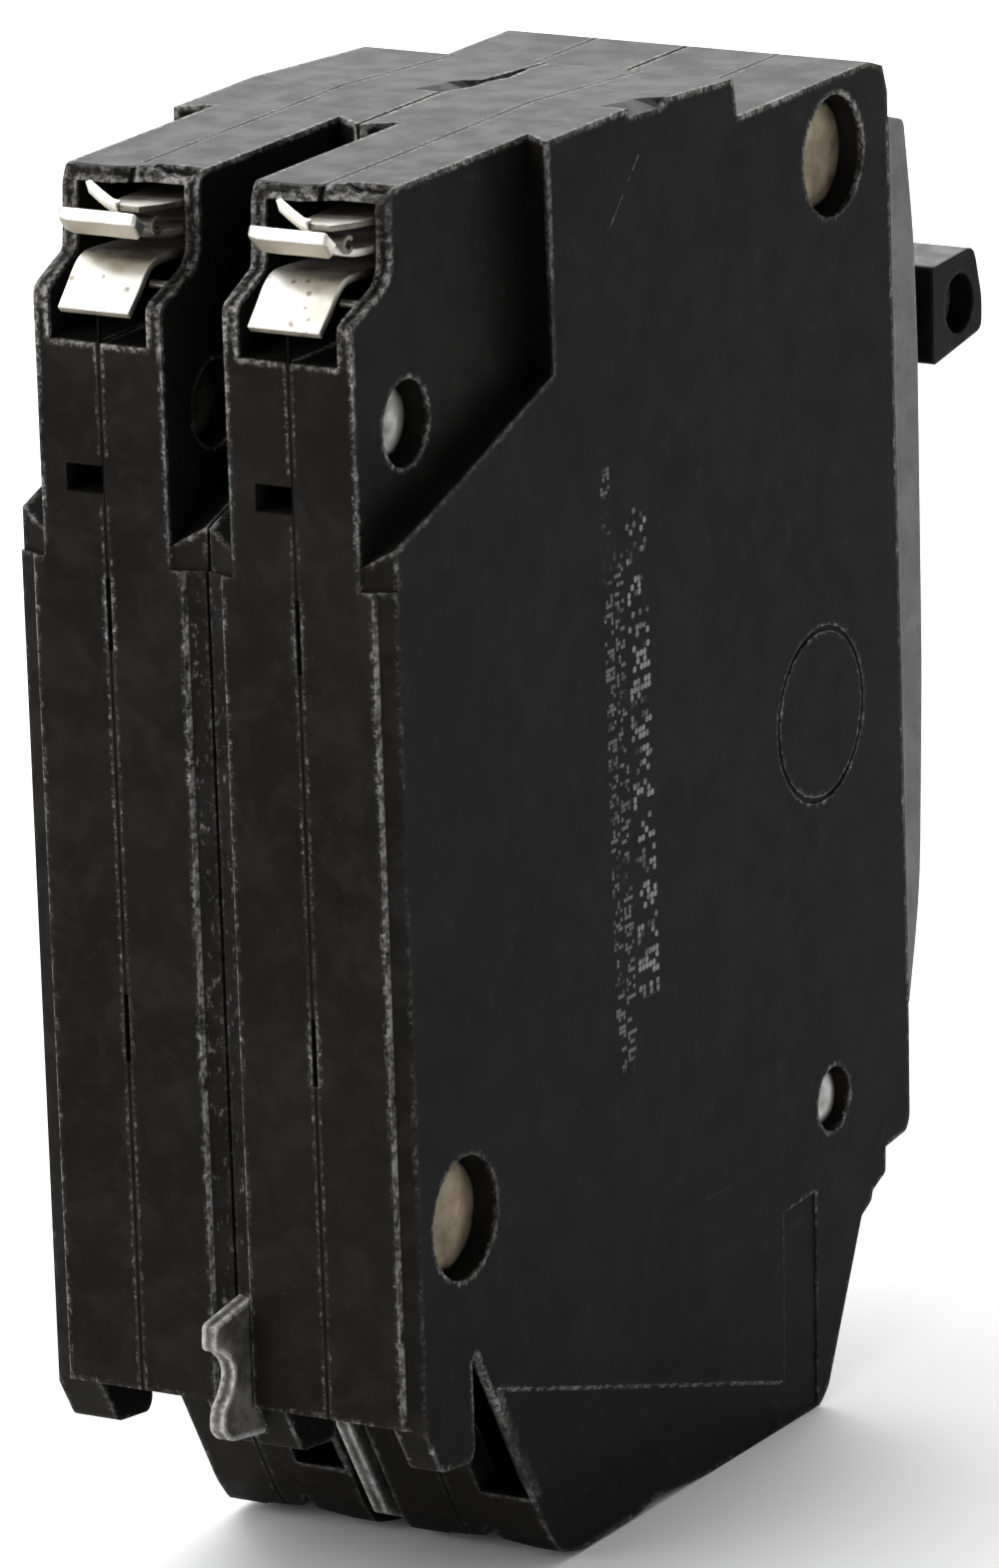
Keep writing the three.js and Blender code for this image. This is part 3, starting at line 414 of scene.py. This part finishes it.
FINISHES = {
    "case": case_finish(),
    "handle": handle_finish(),
    "label": label_finish(),
    # the tin plate gets painted shade on its downward faces through under
    "tinned": metal_finish("tin_plate", (0.86, 0.845, 0.80, 1), (0.70, 0.675, 0.60, 1), 0.34, 0.5,
                           (1, 0.15, 1), (0.55, 0.47, 0.36, 1), 0.25, under=0.9, pits=0.75),
    "leaf": metal_finish("spring_leaf", (0.25, 0.24, 0.205, 1), (0.15, 0.142, 0.12, 1), 0.46, 0.6,
                         (1, 0.2, 1)),
    "hook": hook_finish(),
    "steel": metal_finish("zinc_steel", (0.52, 0.52, 0.50, 1), (0.30, 0.30, 0.29, 1), 0.34, 0.55),
    "rivet_brass": metal_finish("tarnished_brass", (0.28, 0.235, 0.165, 1), (0.155, 0.14, 0.098, 1),
                                0.42, 0.62, stain=(0.16, 0.09, 0.06, 1)),
    "bimetal": metal_finish("bimetal_strip", (0.60, 0.56, 0.48, 1), (0.42, 0.38, 0.30, 1), 0.3, 0.45,
                            (1, 1, 0.15)),
    "copper": metal_finish("bare_copper", (0.72, 0.40, 0.26, 1), (0.45, 0.22, 0.13, 1), 0.3, 0.5,
                           (1, 0.2, 1), (0.20, 0.10, 0.06, 1)),
    "silver": metal_finish("silver_alloy", (0.82, 0.81, 0.79, 1), (0.60, 0.59, 0.57, 1), 0.25, 0.4),
}


def slot_of(name):
    if name == "mounting_hook":
        return "hook"
    if name.endswith(("_base", "_cover")):
        return "case"
    if name.endswith(("_handle", "handle_tie", "trip_bar")):
        return "handle"
    if name.endswith("front_label"):
        return "label"
    if name.endswith(("_jaw", "terminal_clamp")):
        return "tinned"
    if name.endswith("tie_rivet"):
        return "rivet_brass"
    if name.endswith("bimetal"):
        return "bimetal"
    if name.endswith(("contact_arm", "braid", "load_strap")):
        return "copper"
    if name.endswith(("fixed_contact", "contact_tip")):
        return "silver"
    return "steel"


for name, node in NODES.items():
    node.data.materials.clear()
    node.data.materials.append(FINISHES[slot_of(name)])


# ---- detailed pieces --------------------------------------------------------
def place_mesh(name, bm, finish, body, stands_for=(), bevel=0.0):
    """The bmesh as a finished piece: rounded edges, smooth shading, riding on a CAD body."""
    bmesh.ops.remove_doubles(bm, verts=bm.verts, dist=1e-7)
    bmesh.ops.recalc_face_normals(bm, faces=bm.faces)
    mesh = bpy.data.meshes.new(name)
    bm.to_mesh(mesh)
    bm.free()
    mesh.materials.append(FINISHES[finish])
    piece = bpy.data.objects.new(name, mesh)
    bpy.context.scene.collection.objects.link(piece)
    if bevel:
        rounding = piece.modifiers.new("rounding", "BEVEL")
        rounding.width = bevel
        rounding.segments = 3
        rounding.angle_limit = math.radians(35)
    mesh.shade_smooth()
    crease = piece.modifiers.new("crease", "WEIGHTED_NORMAL")
    crease.keep_sharp = True
    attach(piece, body)
    if stands_for:
        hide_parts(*stands_for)
    return piece


def loft(bm, rings):
    """A closed body through rings of places with equal counts."""
    loops = [[bm.verts.new(p) for p in ring] for ring in rings]
    count = len(loops[0])
    for a, b in zip(loops, loops[1:]):
        for i in range(count):
            j = (i + 1) % count
            bm.faces.new((a[i], a[j], b[j], b[i]))
    bm.faces.new(loops[0])
    bm.faces.new(loops[-1][::-1])


def smooth_path(points, steps=5):
    """Points on a curve through the given ones."""
    ends = [points[0], *points, points[-1]]
    out = []
    for i in range(1, len(ends) - 2):
        p0, p1, p2, p3 = (Vector(q) for q in ends[i - 1:i + 3])
        for k in range(steps):
            t = k / steps
            out.append(0.5 * ((2 * p1) + (p2 - p0) * t + (2 * p0 - 5 * p1 + 4 * p2 - p3) * t * t
                              + (3 * p1 - p0 - 3 * p2 + p3) * t * t * t))
    return out + [Vector(points[-1])]


def ribbon(bm, centre, path, thick, wave=0.0, rng=None):
    """A bent metal strip. path holds (x_low, x_high, y, z) from one end to the other, in part millimetres."""
    points = smooth_path(path)
    rings = []
    for i, p in enumerate(points):
        a, b = points[max(i - 1, 0)], points[min(i + 1, len(points) - 1)]
        run = Vector((b[2] - a[2], b[3] - a[3])).normalized()
        up = Vector((-run.y, run.x)) * thick / 2
        shake = rng.uniform(-wave, wave) if rng else 0.0
        corners = ((p[0], 1), (p[1], 1), (p[1], -1), (p[0], -1))
        rings.append([at(centre + x, p[2] + up.x * s, p[3] + up.y * s + shake) for x, s in corners])
    loft(bm, rings)


def lathe(bm, profile, centre, sides=48):
    """A turned body about the X axis. profile holds (x, radius) pairs, centre a (y, z) pair."""
    y, z = centre
    turn = [2 * math.pi * k / sides for k in range(sides)]
    loft(bm, [[at(x, y + math.cos(a) * r, z + math.sin(a) * r) for a in turn] for x, r in profile])


def wire_curve(name, paths, radius, finish, body, stands_for=()):
    """Round wires along the given places."""
    curve = bpy.data.curves.new(name, "CURVE")
    curve.dimensions = "3D"
    curve.bevel_depth = radius
    curve.bevel_resolution = 3
    curve.use_fill_caps = True
    for path in paths:
        line = curve.splines.new("POLY")
        line.points.add(len(path) - 1)
        for point, place in zip(line.points, path):
            point.co = (*place, 1.0)
        line.use_smooth = True
    curve.materials.append(FINISHES[finish])
    piece = bpy.data.objects.new(name, curve)
    bpy.context.scene.collection.objects.link(piece)
    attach(piece, body)
    if stands_for:
        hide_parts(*stands_for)


def coil(start, end, radius, turns, lead, sides=20):
    """Places along a tension coil with straight ends, from start to end."""
    axis = (end - start).normalized()
    side = Vector((1, 0, 0))
    other = axis.cross(side)
    body = (end - start).length - 2 * lead
    path = [start]
    for i in range(turns * sides + 1):
        angle = 2 * math.pi * i / sides
        along = start + axis * (lead + body * i / (turns * sides))
        path.append(along + (side * math.cos(angle) + other * math.sin(angle)) * radius)
    path.append(end)
    return path


# The upper jaw ends in a folded lip of rhombic section: its four (y, z) corners, and the (x, size, rise)
# of its sections from the slanted end to the pointed one.
LIP = ((0.61, 17.04), (0.89, 16.35), (0.16, 15.37), (-0.58, 16.09))
LIP_SECTIONS = ((1.95, 0.55, 0.22), (1.8, 0.86, 0.1), (1.2, 1, 0), (0.2, 1, 0), (-1.0, 1, 0), (-2.2, 1, 0),
                (-3.1, 1, 0), (-3.32, 0.82, 0.0))

# Paths of the jaw strips along Y and Z, as (x_low, x_high, y, z).
JAW_PLATE = [(-3.2, 2.3, -15.5, 15.0), (-3.2, 2.3, -7, 14.9), (-3.2, 2.3, -3.4, 15.05),
             (-3.1, 2.2, -1.6, 15.4), (-2.9, 2.0, -0.35, 15.85)]
JAW_LEAF = [(-3.2, 0.9, -14.5, 16.3), (-3.2, 0.8, -8, 16.45), (-3.2, 0.6, -5, 16.5),
            (-3.2, -0.1, -2.6, 16.75), (-3.15, -1.2, -0.9, 16.98), (-3.1, -2.0, -0.1, 17.08)]
JAW_FLAP = [(-1.5, 1.5, -25.6, 12.9), (-1.5, 1.5, -19.6, 12.9), (-2.65, 2.2, -15.5, 13.1),
            (-2.65, 2.2, -8, 13.3), (-2.65, 2.2, -3.6, 13.5), (-2.65, 2.2, -2.3, 13.45),
            (-2.65, 2.2, -1.45, 13.0), (-2.65, 2.2, -0.6, 12.1), (-2.6, 2.15, 0.6, 10.95)]


def lip(bm, centre, rng):
    """The folded lip, with one end cut on a slant and the other pointed."""
    middle = Vector((sum(p[0] for p in LIP) / 4, sum(p[1] for p in LIP) / 4))
    rings = []
    for x, size, rise in LIP_SECTIONS:
        ring = []
        for y, z in LIP:
            spot = middle + (Vector((y, z)) - middle) * size
            ring.append(at(centre + x, spot.x, spot.y + rise + rng.uniform(-0.015, 0.015)))
        rings.append(ring)
    loft(bm, rings)


def jaws(name, side):
    """Sprung line jaws: lip and plate above, a thin leaf with a bent ear, and the strap with its flap."""
    rng = random.Random(name)
    centre = side * POLE_CENTRE
    bm = bmesh.new()
    lip(bm, centre, rng)
    place_mesh(name + "_jaw_lip", bm, "tinned", "case", bevel=0.09 * MM)

    bm = bmesh.new()
    ribbon(bm, centre, JAW_PLATE, 0.5)
    place_mesh(name + "_jaw_plate", bm, "tinned", "case", (name + "_upper_jaw",), 0.06 * MM)

    bm = bmesh.new()
    turn = [math.radians(a) for a in range(-150, 151, 25)]
    roll = [(-3.28, -1.5, -1.75 + 0.48 * math.cos(a), 15.82 + 0.42 * math.sin(a)) for a in turn]
    ribbon(bm, centre, roll, 0.26)
    place_mesh(name + "_jaw_roll", bm, "leaf", "case", bevel=0.05 * MM)

    bm = bmesh.new()
    ribbon(bm, centre, JAW_LEAF, 0.36)
    place_mesh(name + "_jaw_leaf", bm, "leaf", "case", (name + "_jaw_spring",), 0.05 * MM)

    bm = bmesh.new()
    ear = []
    for t, lift in ((0.0, 0.0), (0.25, 0.08), (0.6, 0.45), (1.0, 0.95)):
        x, z = centre - 1.55 + 2.0 * t, 16.95 + 1.15 * lift
        low, high = z - 0.34, z + 0.34
        ear.append([at(x, -1.0, low), at(x, -0.4, low), at(x + 0.2, -0.4, high), at(x + 0.2, -1.0, high)])
    loft(bm, ear)
    place_mesh(name + "_jaw_ear", bm, "tinned", "case", bevel=0.07 * MM)

    bm = bmesh.new()
    ribbon(bm, centre, JAW_FLAP, 0.5)
    place_mesh(name + "_jaw_flap", bm, "tinned", "case", (name + "_lower_jaw",), 0.07 * MM)

    bm = bmesh.new()
    stop = ((-3.5, 0.12), (-3.44, 0.24), (-1.9, 0.24), (-1.85, 0.12))
    lathe(bm, [(centre + x, radius) for x, radius in stop], (-3.0, 12.05), 16)
    place_mesh(name + "_jaw_stop", bm, "tinned", "case")


def seam_flash(name, side):
    """Thin wavy flash of moulding that nearly closes the parting line down the rear of a pole."""
    rng = random.Random(name + "_flash")
    half = 0.02
    bm = bmesh.new()
    for low, high in ((-53.3, -34.2), (-29.7, -9.5), (-4.7, 0.0), (1.9, 11.2)):
        steps = max(3, int((high - low) / 0.8))
        rings = []
        for i in range(steps + 1):
            z = low + (high - low) * i / steps
            top = rng.uniform(-0.05, -0.02) - (0.1 if i in (0, steps) else 0.0)
            section = ((-half, -0.4), (half, -0.4), (half, top), (-half, top))
            rings.append([at(side * POLE_CENTRE + x, y, z) for x, y in section])
        loft(bm, rings)
    place_mesh(name + "_seam_flash", bm, "case", "case")


def pole_ribs_and_gap_shade():
    """Dark thin sheets between the poles, in place of the ribs that touch there, clear of the trip bar:
    partly those ribs, partly a dark sheet put in the gap to stand for the shade there.
    """
    rear = ((-1.3, -52.8), (-1.3, -3.6), (-21.0, 3.2), (-21.0, 17.5), (-28.0, 17.5), (-28.8, 16.2),
            (-41.1, 16.2), (-41.4, 14.4), (-46.0, 14.4), (-46.0, -52.8))
    upper = ((-46.5, -21.5), (-46.5, 14.4), (-59.4, 14.4), (-59.6, -21.5))
    lower = ((-46.5, -52.0), (-46.5, -26.0), (-59.6, -26.0), (-59.6, -45.5), (-59.4, -52.0))
    bm = bmesh.new()
    for outline in (rear, upper, lower):
        loft(bm, [[at(x, y, z) for y, z in outline] for x in (-0.06, 0.06)])
    place_mesh("pole_ribs_and_gap_shade", bm, "case", "case")


def rivet(name, centre, half, head, shank, thick, finish, x=0.0):
    """A set rivet: two slightly domed heads with rounded rims and a shallow dimple, on one shank."""
    outer = [(half - thick, head), (half - 0.32, head), (half - 0.1, head - 0.14), (half - 0.03, head - 0.4),
             (half, head * 0.62), (half, head * 0.34), (half - 0.10, head * 0.24), (half - 0.12, head * 0.08)]
    right = [(half - thick, shank), *outer]
    left = [(-a, r) for a, r in reversed(right)]
    bm = bmesh.new()
    lathe(bm, [(x + a, r) for a, r in left + right], centre)
    place_mesh(name + "_turned", bm, finish, "case", (name,))


def rivets():
    for name, centre in (("upper_tie_rivet", (-53.4, 10.4)), ("lower_tie_rivet", (-5.9, -42.8))):
        rivet(name, centre, half_of(name), 3.45, 2.0, 0.9, "rivet_brass")
    for name, side in POLES:
        for kind, centre, head in (("_line_rivet", (-5.7, 4.6), 2.2), ("_load_rivet", (-50.5, -48.3), 1.8)):
            node = name + kind
            rivet(node, centre, half_of(node), head, 1.2, 0.9, "steel", side * POLE_CENTRE)


def half_of(name):
    """Half the length of a CAD node along X, in millimetres."""
    low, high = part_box(name)
    return (high.x - low.x) / 2 / MM


def inside(name, side):
    """The wound spring, the stranded braid and the screw thread of one pole."""
    x = side * POLE_CENTRE
    spring = coil(at(x, -36.0, -0.6), at(x, -28.4, -16.6), 1.1 * MM, 9, 2.2 * MM)
    wire_curve(name + "_spring_coil", [spring], 0.26 * MM, "steel", name + "_arm", (name + "_toggle_spring",))
    rope = smooth_path([(2.9, -24.6, -30.4), (3.1, -26.6, -27.8), (3.4, -31.5, -20.5), (3.4, -37.5, -13.5),
                        (3.0, -40.6, -8.8), (2.4, -41.6, -5.0)], 8)
    strands = []
    for strand in range(9):
        path = []
        for i, p in enumerate(rope):
            angle = 2 * math.pi * strand / 9 + i * 0.33
            swing, lift = math.cos(angle), math.sin(angle)
            path.append(at(x + p.x + 0.62 * swing, p.y + 0.3 * lift, p.z + 0.55 * lift))
        strands.append(path)
    wire_curve(name + "_braid_strands", strands, 0.24 * MM, "copper", "case")
    tilt = math.atan2(-4.7, -9.4)
    axis = Vector((0, math.cos(tilt), math.sin(tilt)))
    across = Vector((0, -axis.z, axis.y))
    seat = at(x - 0.9, -45.6, -58.6)
    thread = []
    for i in range(15 * 18):
        angle = 2 * math.pi * i / 18
        along = seat - axis * (1.0 + 0.7 * i / 18) * MM
        thread.append(along + (Vector((1, 0, 0)) * math.cos(angle) + across * math.sin(angle)) * 1.42 * MM)
    wire_curve(name + "_screw_thread", [thread], 0.14 * MM, "steel", name + "_screw")


for name, side in POLES:
    jaws(name, side)
    inside(name, side)
    seam_flash(name, side)
rivets()
pole_ribs_and_gap_shade()


# ---- floor, light and camera ------------------------------------------------
def floor():
    bpy.ops.mesh.primitive_plane_add(size=8, location=(0, 0, CAD_BOX[0].z))
    plane = bpy.context.object
    plane.name = "floor"
    s = Shade("floor_pale", Specular_IOR_Level=0.1)
    colour = s.mix(s.noise(3, 2), grey(0.86), grey(0.90))
    plane.data.materials.append(s.finish(colour, 0.8, s.bump(s.noise(900, 2), 0.05, 0.1 * MM)))


def softbox(name, place, aim, width, height, power, colour=(1, 1, 1)):
    light = bpy.data.lights.new(name, "AREA")
    light.shape = "RECTANGLE"
    light.size = width
    light.size_y = height
    light.energy = power
    light.color = colour
    lamp = bpy.data.objects.new(name, light)
    lamp.location = place
    lamp.rotation_euler = (Vector(aim) - Vector(place)).to_track_quat("-Z", "Y").to_euler()
    bpy.context.scene.collection.objects.link(lamp)


def studio():
    world = bpy.data.worlds.new("studio")
    world.use_nodes = True
    world.node_tree.nodes["Background"].inputs["Color"].default_value = (1, 1, 1, 1)
    world.node_tree.nodes["Background"].inputs["Strength"].default_value = 0.45
    bpy.context.scene.world = world
    centre = (CAD_BOX[0] + CAD_BOX[1]) / 2
    softbox("back_light", centre + Vector((0.55, -0.9, 0.55)), centre, 1.4, 0.8, 20.5)
    softbox("top_light", centre + Vector((0.4, 0.3, 1.1)), centre, 1.2, 1.2, 9)
    softbox("front_fill", centre + Vector((0.65, 1.1, 0.6)), centre, 0.9, 0.9, 8)


def camera():
    """The photograph's view: a long lens behind and to one side, a little above."""
    aim = at(-3.8, -26.3, -22.9)
    azimuth, elevation, roll = (math.radians(a) for a in (210.6, 15.75, -1.93))
    distance = 0.6738
    back = Vector((math.sin(azimuth) * math.cos(elevation), -math.cos(azimuth) * math.cos(elevation),
                   math.sin(elevation)))
    lens = bpy.data.cameras.new("camera")
    lens.sensor_width = 36
    lens.lens = 260.15
    lens.clip_start = 0.05
    eye = bpy.data.objects.new("camera", lens)
    eye.rotation_mode = "QUATERNION"
    eye.location = aim + back * distance
    eye.rotation_quaternion = (-back).to_track_quat("-Z", "Y") @ Matrix.Rotation(roll, 4, "Z").to_quaternion()
    bpy.context.scene.collection.objects.link(eye)
    bpy.context.scene.camera = eye


floor()
studio()
camera()
bpy.context.scene.view_settings.view_transform = "Standard"
